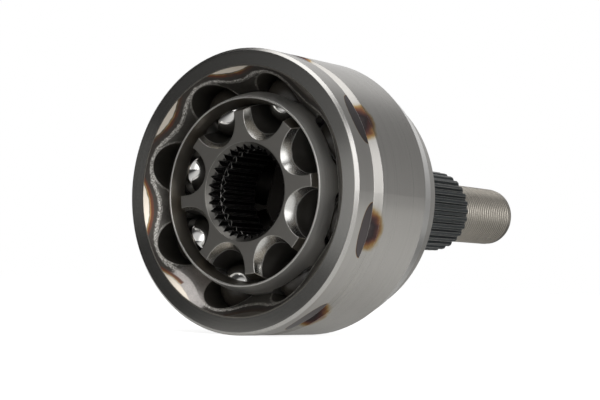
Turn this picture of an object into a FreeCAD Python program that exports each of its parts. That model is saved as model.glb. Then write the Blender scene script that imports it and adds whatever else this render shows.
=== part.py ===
"""Fixed ball joint for a drive shaft: eight balls, a bell with an integral stub, a cage and an inner race.

Millimetres. The joint centre, where both shaft axes meet, is the origin. The stub points along +Y,
the open mouth of the bell faces -Y and +Z is up. Every size is a cell of the sheet "dims", and the
features read the cells through expressions, so a change of one cell carries through the model.
"""

import FreeCAD, Part

import math
import os

import Sketcher

OUTPUT_FOLDER = "parts"
BALL_COUNT = 8
FAULTY_STATES = ("Invalid", "Error")

# Driving dimensions, in millimetres and degrees
DIMENSIONS = [
    ("ball_count", BALL_COUNT, "balls, and tracks in each race"),
    ("ball_diameter", 16.669, "standard ball, 21/32 inch"),
    ("track_offset", 3.0, "track centres lie this far before and behind the joint centre"),
    ("track_clearance", 0.34, "gap between a ball and its track"),
    ("track_clock_angle", 30.0, "angle of the first track from +X towards +Z"),
    ("track_sweep_angle", 112.0, "arc that the cutter runs along a track"),
    ("bore_root_radius", 15.7, "root of the inner race's spline"),
    ("bore_tooth_depth", 1.3, "depth of the inner race's spline"),
    ("bore_teeth", 33, "teeth of the inner race's spline"),
    ("bore_gap_mouth", 1.0, "half width of a spline gap at the tooth tips"),
    ("bore_gap_floor", 0.22, "half width of a spline gap at its root"),
    ("bore_lead", 0.8, "lead-in chamfer beyond the spline's root"),
    ("hub_wall", 8.17, "metal between the spline's root and the track floor"),
    ("race_width", 26.6, "inner race along the axis"),
    ("ring_setback", 3.8, "from the end of the lead-in to the ring groove"),
    ("ring_width", 1.8, "ring groove along the axis"),
    ("ring_depth", 0.4, "ring groove beyond the spline's root"),
    ("sphere_fit", 0.2, "gap between cage and races"),
    ("cage_inside", 2.1, "pitch circle down to the cage's inner sphere"),
    ("cage_outside", 2.0, "pitch circle up to the cage's outer sphere"),
    ("cage_front", 14.5, "joint centre to the cage's front edge"),
    ("cage_back", 14.5, "joint centre to the cage's back edge"),
    ("cage_lip", 0.6, "thickness of the cage's front edge"),
    ("cage_entry", 6.5, "length of the cage's entry cone"),
    ("window_fit", 0.42, "gap between a ball and the sides of its window"),
    ("window_slack", 1.35, "gap between a ball and the ends of its window"),
    ("window_corner", 3.6, "corner radius of a window"),
    ("bell_wall", 5.781, "metal outside the deepest point of a track"),
    ("mouth_depth", 16.7, "joint centre to the mouth face"),
    ("mouth_chamfer", 1.0, "outer edge of the mouth"),
    ("face_width", 6.0, "mouth face from the funnel to the rim"),
    ("funnel_depth", 4.2, "turned funnel at 45 degrees, where it is deepest"),
    ("entry_angle", 31.0, "draft of the forged entry's eight flats behind the funnel"),
    ("entry_corner", 25.7, "corner radius of the forged entry, one corner at each track"),
    ("floor_radius", 13.2, "flat floor of the cavity"),
    ("rim_land", 9.2, "rim from the mouth face to the boot groove"),
    ("groove_floor", 3.0, "flat floor of the boot groove"),
    ("groove_depth", 1.9, "depth of the boot groove"),
    ("groove_ramp", 2.3, "ramp from the boot groove to the body"),
    ("body_land", 25.5, "cylinder behind the boot groove"),
    ("taper_front", 7.5, "turned part of the rear taper, along the axis"),
    ("taper_back", 7.5, "forged part of the rear taper, along the axis"),
    ("taper_slope", 0.35, "drop of the rear taper for each millimetre"),
    ("taper_step", 0.25, "step where the turned part ends"),
    ("shoulder_radius", 24.0, "boss that the hub bearing seats on"),
    ("shoulder_height", 1.8, "boss behind the dome"),
    ("journal_radius", 16.0, "plain journal behind the boss"),
    ("journal_length", 14.6, "plain journal along the axis"),
    ("journal_chamfer", 0.6, "edge of the journal"),
    ("spline_radius", 15.2, "tips of the stub's spline"),
    ("spline_depth", 1.1, "depth of the stub's spline"),
    ("spline_length", 39.4, "stub's spline along the axis"),
    ("spline_teeth", 30, "teeth of the stub's spline"),
    ("spline_chamfer", 0.9, "end of the stub's spline"),
    ("spline_gap_mouth", 1.0, "half width of a gap at the tooth tips"),
    ("spline_gap_floor", 0.45, "half width of a gap at its root"),
    ("thread_radius", 11.0, "major radius of the hub nut's thread"),
    ("thread_length", 41.6, "threaded end, with its relief"),
    ("relief_radius", 9.7, "relief between the spline and the thread"),
    ("relief_length", 2.4, "relief along the axis"),
    ("thread_chamfer", 0.7, "end of the thread"),
    ("centre_radius", 3.4, "mouth of the turning centre in the stub's end"),
    ("centre_pilot", 1.6, "pilot hole of the turning centre"),
    ("centre_depth", 8.0, "depth of the pilot hole"),
]

# Lengths that follow from the driving dimensions, as expressions
BALL_RADIUS = "(dims.ball_diameter / 2)"
GROOVE_RADIUS = f"({BALL_RADIUS} + dims.track_clearance)"
TRACK_RADIUS = f"(dims.bore_root_radius + dims.hub_wall + {GROOVE_RADIUS})"
PITCH_RADIUS = f"sqrt({TRACK_RADIUS} ^ 2 - dims.track_offset ^ 2)"
CAGE_INNER = f"({PITCH_RADIUS} - dims.cage_inside)"
CAGE_OUTER = f"({PITCH_RADIUS} + dims.cage_outside)"
RACE_SPHERE = f"({CAGE_INNER} - dims.sphere_fit)"
BELL_SPHERE = f"({CAGE_OUTER} + dims.sphere_fit)"
BELL_RADIUS = f"({TRACK_RADIUS} + {GROOVE_RADIUS} + dims.bell_wall)"
FUNNEL_RADIUS = f"({BELL_RADIUS} - dims.face_width)"
ENTRY_SLOPE = "tan(dims.entry_angle * 1deg)"
ENTRY_FLAT = f"({FUNNEL_RADIUS} - dims.funnel_depth * (1 - {ENTRY_SLOPE}))"


def new_document():
    """Makes the document and its sheet of driving dimensions."""
    document = FreeCAD.newDocument("cv_joint")
    sheet = document.addObject("Spreadsheet::Sheet", "dims")
    for row, (alias, size, note) in enumerate(DIMENSIONS, start=1):
        sheet.set(f"A{row}", alias)
        sheet.set(f"B{row}", str(size))
        sheet.set(f"C{row}", note)
        sheet.setAlias(f"B{row}", alias)
    document.recompute()
    return document


def new_body(document, label):
    """Adds an empty body whose label names the exported piece."""
    body = document.addObject("PartDesign::Body", label)
    body.Label = label
    return body


def origin_feature(body, role):
    """Finds a plane or an axis of a body's own origin."""
    for feature in body.Origin.OriginFeatures:
        if feature.Role == role:
            return feature
    raise ValueError(f"no {role} in {body.Label}")


def add_sketch(body, name, plane, offset=None, turn_axis=None, turn=None):
    """Adds a sketch on an origin plane, moved along its normal and turned, both by expressions."""
    sketch = body.newObject("Sketcher::SketchObject", name)
    sketch.AttachmentSupport = [(origin_feature(body, plane), "")]
    sketch.MapMode = "FlatFace"
    if turn_axis is not None:
        rotation = FreeCAD.Rotation(turn_axis, 1.0)
        sketch.AttachmentOffset = FreeCAD.Placement(FreeCAD.Vector(), rotation)
        sketch.setExpression("AttachmentOffset.Rotation.Angle", f"({turn}) * 1deg")
    if offset is not None:
        sketch.setExpression("AttachmentOffset.Base.z", offset)
    return sketch


def bind_point(sketch, geometry, end, corner):
    """Ties one end of a sketch edge to the expressions of a corner."""
    for kind, expression in zip(("DistanceX", "DistanceY"), corner):
        size = float(sketch.evalExpression(expression))
        index = sketch.addConstraint(Sketcher.Constraint(kind, -1, 1, geometry, end, size))
        sketch.setExpression(f"Constraints[{index}]", expression)


def draw_outline(sketch, corners):
    """Draws a closed outline whose corners are pairs of expressions.

    A corner with a third item, a tuple of the centre's two expressions and the radius, is reached
    from the one before it by an arc about that centre instead of a straight line.
    """
    places = [FreeCAD.Vector(*[float(sketch.evalExpression(e)) for e in c[:2]], 0) for c in corners]
    for number, corner in enumerate(corners):
        start = places[number - 1]
        end = places[number]
        if len(corner) == 2:
            sketch.addGeometry(Part.LineSegment(start, end), False)
            continue
        centre_x, centre_y, radius = [float(sketch.evalExpression(e)) for e in corner[2]]
        centre = FreeCAD.Vector(centre_x, centre_y, 0)
        middle = (start + end) / 2 - centre
        middle = centre + middle.normalize() * radius
        sketch.addGeometry(Part.Arc(start, middle, end), False)
    tie_outline(sketch, corners, places)


def tie_outline(sketch, corners, places):
    """Joins the edges of an outline end to end and ties each corner to its expressions."""
    count = len(corners)
    for number, corner in enumerate(corners):
        following = (number + 1) % count
        end = edge_end(sketch, number, places[number])
        start = edge_end(sketch, following, places[number])
        sketch.addConstraint(Sketcher.Constraint("Coincident", number, end, following, start))
        bind_point(sketch, number, end, corner[:2])
        if len(corner) == 3:
            radius = float(sketch.evalExpression(corner[2][2]))
            index = sketch.addConstraint(Sketcher.Constraint("Radius", number, radius))
            sketch.setExpression(f"Constraints[{index}]", corner[2][2])


def edge_end(sketch, geometry, place):
    """Tells which end of an edge, 1 or 2, lies at a place."""
    first = (sketch.getPoint(geometry, 1) - place).Length
    second = (sketch.getPoint(geometry, 2) - place).Length
    return 1 if first < second else 2


def revolve(body, sketch, name):
    """Turns an outline about the axis of the joint."""
    feature = body.newObject("PartDesign::Revolution", name)
    feature.Profile = sketch
    feature.ReferenceAxis = (sketch, ["V_Axis"])
    feature.Angle = 360.0
    sketch.Visibility = False
    return feature


def pattern_round_axis(body, original, count, name):
    """Repeats a cut round the axis of the joint."""
    pattern = body.newObject("PartDesign::PolarPattern", name)
    pattern.Originals = [original]
    pattern.Axis = (origin_feature(body, "Y_Axis"), [""])
    pattern.Angle = 360.0
    pattern.setExpression("Occurrences", count)
    body.Tip = pattern
    return pattern


def cut_tracks(body, side):
    """Cuts the ball tracks, each an arc of a round groove about a centre offset along the axis."""
    normal = FreeCAD.Vector(0, 0, 1)
    offset = f"{side} * dims.track_offset"
    sketch = add_sketch(body, "track_section", "XZ_Plane", offset, normal, "dims.track_clock_angle")
    radius = float(sketch.evalExpression(GROOVE_RADIUS))
    centre = FreeCAD.Vector(float(sketch.evalExpression(TRACK_RADIUS)), 0, 0)
    sketch.addGeometry(Part.Circle(centre, normal, radius), False)
    bind_point(sketch, 0, 3, (TRACK_RADIUS, "0"))
    index = sketch.addConstraint(Sketcher.Constraint("Radius", 0, radius))
    sketch.setExpression(f"Constraints[{index}]", GROOVE_RADIUS)
    groove = body.newObject("PartDesign::Groove", "track")
    groove.Profile = sketch
    groove.ReferenceAxis = (sketch, ["V_Axis"])
    groove.Midplane = True
    groove.setExpression("Angle", "dims.track_sweep_angle * 1deg")
    sketch.Visibility = False
    pattern_round_axis(body, groove, "dims.ball_count", "tracks")


def cut_spline(body, name, start, outline, length, teeth):
    """Cuts one spline gap along +Y from a plane and repeats it for every tooth."""
    normal = FreeCAD.Vector(0, 0, 1)
    sketch = add_sketch(body, f"{name}_section", "XZ_Plane", f"-({start})", normal, "dims.track_clock_angle")
    draw_outline(sketch, outline)
    pocket = body.newObject("PartDesign::Pocket", f"{name}_gap")
    pocket.Profile = sketch
    pocket.setExpression("Length", length)
    sketch.Visibility = False
    pattern_round_axis(body, pocket, teeth, f"{name}_teeth")
    return pocket


def on_sphere(radius, height):
    """Gives the distance from the axis of a sphere's surface at a height along the axis."""
    return f"sqrt({radius} ^ 2 - ({height}) ^ 2)"


def cone_length(radius, slope):
    """Gives how far a cone runs from the mouth face until it meets the bell's inner sphere."""
    lead = f"({radius} * {slope} + dims.mouth_depth)"
    steep = f"(1 + {slope} ^ 2)"
    rest = f"({radius} ^ 2 + dims.mouth_depth ^ 2 - {BELL_SPHERE} ^ 2)"
    return f"(({lead} - sqrt({lead} ^ 2 - {steep} * {rest})) / {steep})"


def cut_entry(body):
    """Cuts the forged entry, an octagon that narrows inwards and has a round corner at each track."""
    normal = FreeCAD.Vector(0, 0, 1)
    half = "(180deg / dims.ball_count)"
    reach = f"(({ENTRY_FLAT} - dims.entry_corner) / cos({half}))"
    corners = []
    for number in range(BALL_COUNT):
        middle = f"({number} * 2 * {half})"
        centre = (f"{reach} * cos({middle})", f"{reach} * sin({middle})", "dims.entry_corner")
        for side in ("-", "+"):
            across = f"{centre[0]} + dims.entry_corner * cos({middle} {side} {half})"
            upward = f"{centre[1]} + dims.entry_corner * sin({middle} {side} {half})"
            corners.append((across, upward) if side == "-" else (across, upward, centre))
    turn = "dims.track_clock_angle"
    sketch = add_sketch(body, "entry_section", "XZ_Plane", "dims.mouth_depth", normal, turn)
    draw_outline(sketch, corners)
    pocket = body.newObject("PartDesign::Pocket", "entry")
    pocket.Profile = sketch
    pocket.setExpression("Length", cone_length(f"({reach} + dims.entry_corner)", ENTRY_SLOPE))
    pocket.setExpression("TaperAngle", "-dims.entry_angle * 1deg")
    sketch.Visibility = False


def bell_outline():
    """Half section of the bell and its stub, from the mouth round the outside to the stub's end."""
    mouth = "(-dims.mouth_depth)"
    land_end = f"({mouth} + dims.rim_land)"
    floor_end = f"({land_end} + dims.groove_floor)"
    ramp_end = f"({floor_end} + dims.groove_ramp)"
    body_end = f"({ramp_end} + dims.body_land)"
    step = f"({body_end} + dims.taper_front)"
    taper_end = f"({step} + dims.taper_back)"
    step_radius = f"({BELL_RADIUS} - dims.taper_front * dims.taper_slope)"
    low_radius = f"({step_radius} - dims.taper_step)"
    taper_radius = f"({low_radius} - dims.taper_back * dims.taper_slope)"
    dome = f"sqrt({taper_radius} ^ 2 + {taper_end} ^ 2)"
    boss = on_sphere(dome, "dims.shoulder_radius")
    seat = f"({boss} + dims.shoulder_height)"
    journal_end = f"({seat} + dims.journal_length)"
    spline_end = f"({journal_end} + dims.spline_length)"
    relief_end = f"({spline_end} + dims.relief_length)"
    tip = f"({spline_end} + dims.thread_length)"
    sphere_start = f"({mouth} + {cone_length(FUNNEL_RADIUS, '1')})"
    corners = [
        (FUNNEL_RADIUS, mouth),
        (f"{BELL_RADIUS} - dims.mouth_chamfer", mouth),
        (BELL_RADIUS, f"{mouth} + dims.mouth_chamfer"),
        (BELL_RADIUS, land_end),
        (f"{BELL_RADIUS} - dims.groove_depth", land_end),
        (f"{BELL_RADIUS} - dims.groove_depth", floor_end),
        (BELL_RADIUS, ramp_end),
        (BELL_RADIUS, body_end),
        (step_radius, step),
        (low_radius, step),
        (taper_radius, taper_end),
        ("dims.shoulder_radius", boss, ("0", "0", dome)),
        ("dims.shoulder_radius", seat),
        ("dims.journal_radius", seat),
        ("dims.journal_radius", f"{journal_end} - dims.journal_chamfer"),
        ("dims.journal_radius - dims.journal_chamfer", journal_end),
        ("dims.spline_radius", journal_end),
        ("dims.spline_radius", f"{spline_end} - dims.spline_chamfer"),
        ("dims.spline_radius - dims.spline_chamfer", spline_end),
        ("dims.relief_radius", spline_end),
        ("dims.relief_radius", relief_end),
        ("dims.thread_radius", f"{relief_end} + dims.thread_radius - dims.relief_radius"),
        ("dims.thread_radius", f"{tip} - dims.thread_chamfer"),
        ("dims.thread_radius - dims.thread_chamfer", tip),
        ("dims.centre_radius", tip),
        ("dims.centre_pilot", f"{tip} - (dims.centre_radius - dims.centre_pilot) * sqrt(3)"),
        ("dims.centre_pilot", f"{tip} - dims.centre_depth"),
        ("0", f"{tip} - dims.centre_depth"),
        ("0", on_sphere(BELL_SPHERE, "dims.floor_radius")),
        ("dims.floor_radius", on_sphere(BELL_SPHERE, "dims.floor_radius")),
        (on_sphere(BELL_SPHERE, sphere_start), sphere_start, ("0", "0", BELL_SPHERE)),
    ]
    return corners, journal_end


def make_outer_race(document):
    """The bell with its eight tracks and, forged on it, the stub with journal, spline and thread."""
    body = new_body(document, "outer_race")
    corners, spline_start = bell_outline()
    sketch = add_sketch(body, "bell_section", "XY_Plane")
    draw_outline(sketch, corners)
    revolve(body, sketch, "bell")
    document.recompute()
    cut_entry(body)
    document.recompute()
    cut_tracks(body, 1)
    document.recompute()
    gap = [
        ("dims.spline_radius - dims.spline_depth", "-dims.spline_gap_floor"),
        ("dims.journal_radius + dims.spline_depth", "-dims.spline_gap_mouth * 2"),
        ("dims.journal_radius + dims.spline_depth", "dims.spline_gap_mouth * 2"),
        ("dims.spline_radius - dims.spline_depth", "dims.spline_gap_floor"),
    ]
    cut_spline(body, "stub_spline", spline_start, gap, "dims.spline_length", "dims.spline_teeth")
    return body


def make_inner_race(document):
    """The star on the drive shaft: a ball-shaped hub with eight tracks and a splined bore."""
    body = new_body(document, "inner_race")
    tooth_tip = "(dims.bore_root_radius - dims.bore_tooth_depth)"
    lead_radius = "(dims.bore_root_radius + dims.bore_lead)"
    ring_radius = "(dims.bore_root_radius + dims.ring_depth)"
    half = "(dims.race_width / 2)"
    lead = "(dims.bore_tooth_depth + dims.bore_lead)"
    ring_start = f"(-{half} + {lead} + dims.ring_setback)"
    corners = [
        (lead_radius, f"-{half}"),
        (on_sphere(RACE_SPHERE, half), f"-{half}"),
        (on_sphere(RACE_SPHERE, half), half, ("0", "0", RACE_SPHERE)),
        (lead_radius, half),
        (tooth_tip, f"{half} - {lead}"),
        (tooth_tip, f"{ring_start} + dims.ring_width"),
        (ring_radius, f"{ring_start} + dims.ring_width"),
        (ring_radius, ring_start),
        (tooth_tip, ring_start),
        (tooth_tip, f"-{half} + {lead}"),
    ]
    sketch = add_sketch(body, "hub_section", "XY_Plane")
    draw_outline(sketch, corners)
    revolve(body, sketch, "hub")
    document.recompute()
    cut_tracks(body, -1)
    document.recompute()
    gap = [
        (f"{tooth_tip} - dims.bore_tooth_depth", "-dims.bore_gap_mouth * 2"),
        ("dims.bore_root_radius", "-dims.bore_gap_floor"),
        ("dims.bore_root_radius", "dims.bore_gap_floor"),
        (f"{tooth_tip} - dims.bore_tooth_depth", "dims.bore_gap_mouth * 2"),
    ]
    cut_spline(body, "bore_spline", f"-{half}", gap, "dims.race_width", "dims.bore_teeth")
    return body


def make_cage(document):
    """The cage, a ring between two spheres with a window for each ball and an entry cone in front."""
    body = new_body(document, "cage")
    front = "(-dims.cage_front)"
    back = "dims.cage_back"
    cone_end = f"({front} + dims.cage_entry)"
    corners = [
        (f"{on_sphere(CAGE_OUTER, front)} - dims.cage_lip", front),
        (on_sphere(CAGE_OUTER, front), front),
        (on_sphere(CAGE_OUTER, back), back, ("0", "0", CAGE_OUTER)),
        (on_sphere(CAGE_INNER, back), back),
        (on_sphere(CAGE_INNER, cone_end), cone_end, ("0", "0", CAGE_INNER)),
    ]
    sketch = add_sketch(body, "ring_section", "XY_Plane")
    draw_outline(sketch, corners)
    revolve(body, sketch, "ring")
    document.recompute()
    cut_windows(body)
    return body


def cut_windows(body):
    """Cuts the cage's windows outwards from the axis, long enough for a ball's sideways shift."""
    side = FreeCAD.Vector(1, 0, 0)
    sketch = add_sketch(body, "window_section", "YZ_Plane", None, side, "-dims.track_clock_angle")
    wide = f"({BALL_RADIUS} + dims.window_fit)"
    tall = f"({BALL_RADIUS} + dims.window_slack)"
    inner_wide = f"({wide} - dims.window_corner)"
    inner_tall = f"({tall} - dims.window_corner)"
    corners = []
    for sign_wide, sign_tall in ((1, 1), (-1, 1), (-1, -1), (1, -1)):
        centre = (f"{sign_wide} * {inner_wide}", f"{sign_tall} * {inner_tall}", "dims.window_corner")
        on_side = (f"{sign_wide} * {wide}", f"{sign_tall} * {inner_tall}")
        on_end = (f"{sign_wide} * {inner_wide}", f"{sign_tall} * {tall}")
        if sign_wide == sign_tall:
            corners.extend([on_side, on_end + (centre,)])
        else:
            corners.extend([on_end, on_side + (centre,)])
    draw_outline(sketch, corners)
    pocket = body.newObject("PartDesign::Pocket", "window")
    pocket.Profile = sketch
    pocket.Reversed = True
    pocket.setExpression("Length", f"{CAGE_OUTER} * 1.2")
    sketch.Visibility = False
    pattern_round_axis(body, pocket, "dims.ball_count", "windows")


def make_balls(document):
    """The balls, each in its window, in the plane that halves the joint's angle."""
    for number in range(BALL_COUNT):
        label = f"ball_{number + 1}"
        ball = document.addObject("Part::Sphere", label)
        ball.Label = label
        ball.setExpression("Radius", BALL_RADIUS)
        angle = f"((dims.track_clock_angle + {number} * 360 / dims.ball_count) * 1deg)"
        ball.setExpression("Placement.Base.x", f"{PITCH_RADIUS} * cos({angle})")
        ball.setExpression("Placement.Base.z", f"{PITCH_RADIUS} * sin({angle})")


def sub_parts(document):
    """Lists the objects that become files: the bodies and the balls."""
    kinds = ("PartDesign::Body", "Part::Sphere")
    return [item for item in document.Objects if item.TypeId in kinds]


def check(document):
    """Stops the build when a feature failed, a shape is not one valid solid or a cut took nothing."""
    for item in document.Objects:
        if any(state in item.State for state in FAULTY_STATES):
            raise RuntimeError(f"{item.Name} failed: {item.State}")
    for item in sub_parts(document):
        if item.Shape.isNull() or not item.Shape.isValid() or len(item.Shape.Solids) != 1:
            raise RuntimeError(f"{item.Label} is not one valid solid")
    for body in document.Objects:
        if body.TypeId == "PartDesign::Body":
            check_cuts(body)


def check_cuts(body):
    """Compares the volume before and after each cut of a body."""
    volume = math.inf
    for feature in body.Group:
        if not feature.isDerivedFrom("PartDesign::Feature"):
            continue
        if feature.Shape.Volume >= volume:
            raise RuntimeError(f"{feature.Name} cuts nothing from {body.Label}")
        volume = feature.Shape.Volume


def main():
    """Builds the joint and writes each piece to its file."""
    document = new_document()
    make_outer_race(document)
    make_cage(document)
    make_inner_race(document)
    make_balls(document)
    document.recompute()
    check(document)
    os.makedirs(OUTPUT_FOLDER, exist_ok=True)
    for item in sub_parts(document):
        item.Shape.exportStep(os.path.join(OUTPUT_FOLDER, f"{item.Label}.step"))
        print(item.Label, round(item.Shape.Volume, 1))


main()
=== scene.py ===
"""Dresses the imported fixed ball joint: its steel finishes, the hub thread and the studio round it.

Metres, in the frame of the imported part: the joint centre is the origin, the stub points along +Y and
+Z is up. The patterns in the materials work in millimetres of the Object coordinates. A Span is where
a mask is 0 and where it is 1, a Fray the scale, detail, gain and shift of a noise.
"""

import logging
import math
from dataclasses import dataclass, field
from enum import Enum
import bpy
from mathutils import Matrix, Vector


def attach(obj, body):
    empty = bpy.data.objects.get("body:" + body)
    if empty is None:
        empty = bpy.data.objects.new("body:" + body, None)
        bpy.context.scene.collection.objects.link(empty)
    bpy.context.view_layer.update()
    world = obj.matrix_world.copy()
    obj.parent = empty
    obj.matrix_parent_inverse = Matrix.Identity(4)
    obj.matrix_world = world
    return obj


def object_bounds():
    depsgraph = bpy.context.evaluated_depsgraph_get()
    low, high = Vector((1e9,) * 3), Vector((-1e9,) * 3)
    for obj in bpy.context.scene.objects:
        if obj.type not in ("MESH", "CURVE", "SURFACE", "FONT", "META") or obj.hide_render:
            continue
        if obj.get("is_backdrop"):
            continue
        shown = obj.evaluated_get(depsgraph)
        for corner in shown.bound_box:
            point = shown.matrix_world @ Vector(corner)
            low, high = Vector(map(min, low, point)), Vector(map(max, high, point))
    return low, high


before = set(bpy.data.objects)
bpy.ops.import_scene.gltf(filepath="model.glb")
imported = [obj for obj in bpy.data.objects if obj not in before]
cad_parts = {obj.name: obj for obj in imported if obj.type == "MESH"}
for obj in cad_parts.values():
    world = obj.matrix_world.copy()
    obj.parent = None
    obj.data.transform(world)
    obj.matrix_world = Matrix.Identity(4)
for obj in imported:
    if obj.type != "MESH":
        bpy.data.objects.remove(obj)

from types import MappingProxyType
from typing import Mapping, Sequence, Union

import bpy
from mathutils import Matrix, Vector

LOG = logging.getLogger("cv_joint")
MILLIMETRE = 0.001

Socket = bpy.types.NodeSocket
Feed = Union["Wire", Socket, float, Sequence[float]]
Place = tuple[float, float, float]
Colour = tuple[float, float, float]
Pair = tuple[float, float]
Span = tuple[float, float]
Fray = tuple[float, float, float, float]

NUMBER = "NodeSocketFloat"
COLOUR = "NodeSocketColor"
VECTOR = "NodeSocketVector"


class Node(Enum):
    """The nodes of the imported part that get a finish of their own."""

    BELL = "outer_race"
    CAGE = "cage"
    RACE = "inner_race"


class Body(Enum):
    """The bodies that pieces made here ride on."""

    HOUSING = "housing"


class Grain(Enum):
    """Ways in which a steel surface was finished."""

    TURNED = "turned"
    GROUND = "ground"
    FORGED = "forged"


@dataclass(frozen=True)
class TrackSizes:
    """The ball tracks, in millimetres and degrees.

    Attributes:
        count: Balls, and tracks in each race.
        clock: Angle of the first track from +X towards +Z.
        offset: Distance of the track centres from the joint centre.
        radius: From a track's centre to the middle of its groove.
        groove: Radius of the groove's section.
    """

    count: int = 8
    clock: float = 30.0
    offset: float = 3.0
    radius: float = 32.5445
    groove: float = 8.6745


@dataclass(frozen=True)
class BellSizes:
    """Places on the bell, in millimetres, with heights counted along +Y from the joint centre.

    Attributes:
        radius: Outside of the body.
        mouth: Height of the mouth's face.
        mouth_chamfer: Outer chamfer of the mouth.
        face_inner: Radius at which the face meets the funnel.
        entry_flat: From the axis to a flat of the forged entry's octagon, at the mouth.
        entry_slope: How much the octagon closes for each millimetre of depth.
        entry_corner: Radius of the octagon's corners.
        land_end: Height at which the land before the boot groove ends.
        body_end: Height at which the body ends.
        step: Height at which the turned taper becomes the forged dome.
        seat: Height at which the journal begins.
        journal_end: Height at which it ends.
        spline_end: Height at which the spline ends.
    """

    radius: float = 47.0
    mouth: float = -16.7
    mouth_chamfer: float = 1.0
    face_inner: float = 41.0
    entry_flat: float = 39.32
    entry_slope: float = 0.6009
    entry_corner: float = 25.7
    land_end: float = -7.5
    body_end: float = 23.3
    step: float = 30.8
    seat: float = 52.92
    journal_end: float = 67.52
    spline_end: float = 106.92


@dataclass(frozen=True)
class RaceSizes:
    """Places on the inner race and the cage, in millimetres.

    Attributes:
        race_half: From the middle of the race to its faces.
        bore_root: Radius of the gaps in the bore's spline.
        lead: Radius of the lead-in.
        cage_front: Height of the cage's front edge.
        cage_inner: Radius of the cage's inner sphere.
    """

    race_half: float = 13.3
    bore_root: float = 15.7
    lead: float = 16.5
    cage_front: float = -14.5
    cage_inner: float = 30.306


@dataclass(frozen=True)
class ThreadSizes:
    """The hub thread on the stub's tip, in millimetres, as a ridge wound on the stub.

    Attributes:
        pitch: Distance from one crest to the next.
        start: Height along +Y of the ridge's middle where it begins.
        turns: Number of turns.
        core: Radius of the ridge's foot, a little inside the stub's skin.
        crest: Radius of its flat top.
        foot: Width of the foot.
        top: Width of the flat top.
        runout: Turns over which each end sinks into the stub.
        sink: How deep the ends sink.
        segments: Straight pieces in one turn.
    """

    pitch: float = 1.5
    start: float = 110.6
    turns: float = 24.5
    core: float = 10.85
    crest: float = 11.16
    foot: float = 1.46
    top: float = 0.24
    runout: float = 0.8
    sink: float = 0.45
    segments: int = 72


TRACKS = TrackSizes()
BELL = BellSizes()
RACE = RaceSizes()
THREAD = ThreadSizes()


class Wire:
    """A number on its way through a node tree. Plain arithmetic on it adds Math nodes."""

    def __init__(self, graph: "Graph", socket: Socket) -> None:
        """Keeps the output that carries the number, and its graph."""
        self.graph = graph
        self.socket = socket

    def __add__(self, other: Feed) -> "Wire":
        """The sum with another number."""
        return self.graph.math("ADD", self, other)

    def __sub__(self, other: Feed) -> "Wire":
        """This number less another one."""
        return self.graph.math("SUBTRACT", self, other)

    def __rsub__(self, other: float) -> "Wire":
        """A plain number less this one."""
        return self.graph.math("SUBTRACT", other, self)

    def __mul__(self, other: Feed) -> "Wire":
        """The product with another number."""
        return self.graph.math("MULTIPLY", self, other)

    def __truediv__(self, other: Feed) -> "Wire":
        """This number divided by another one."""
        return self.graph.math("DIVIDE", self, other)

    def __abs__(self) -> "Wire":
        """The number without its sign."""
        return self.graph.math("ABSOLUTE", self)

    def scaled(self, gain: float, shift: float) -> "Wire":
        """The number times a gain, plus a shift."""
        return self.graph.math("MULTIPLY_ADD", self, gain, shift)

    def larger(self, other: Feed) -> "Wire":
        """The larger of this number and another one."""
        return self.graph.math("MAXIMUM", self, other)

    def cosine(self) -> "Wire":
        """The cosine of the number, an angle in radians."""
        return self.graph.math("COSINE", self)

    def sine(self) -> "Wire":
        """The sine of the number, an angle in radians."""
        return self.graph.math("SINE", self)

    def wrapped(self, half: float) -> "Wire":
        """The number brought between minus half and half of its period."""
        return self.graph.math("WRAP", self, half, -half)


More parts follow.
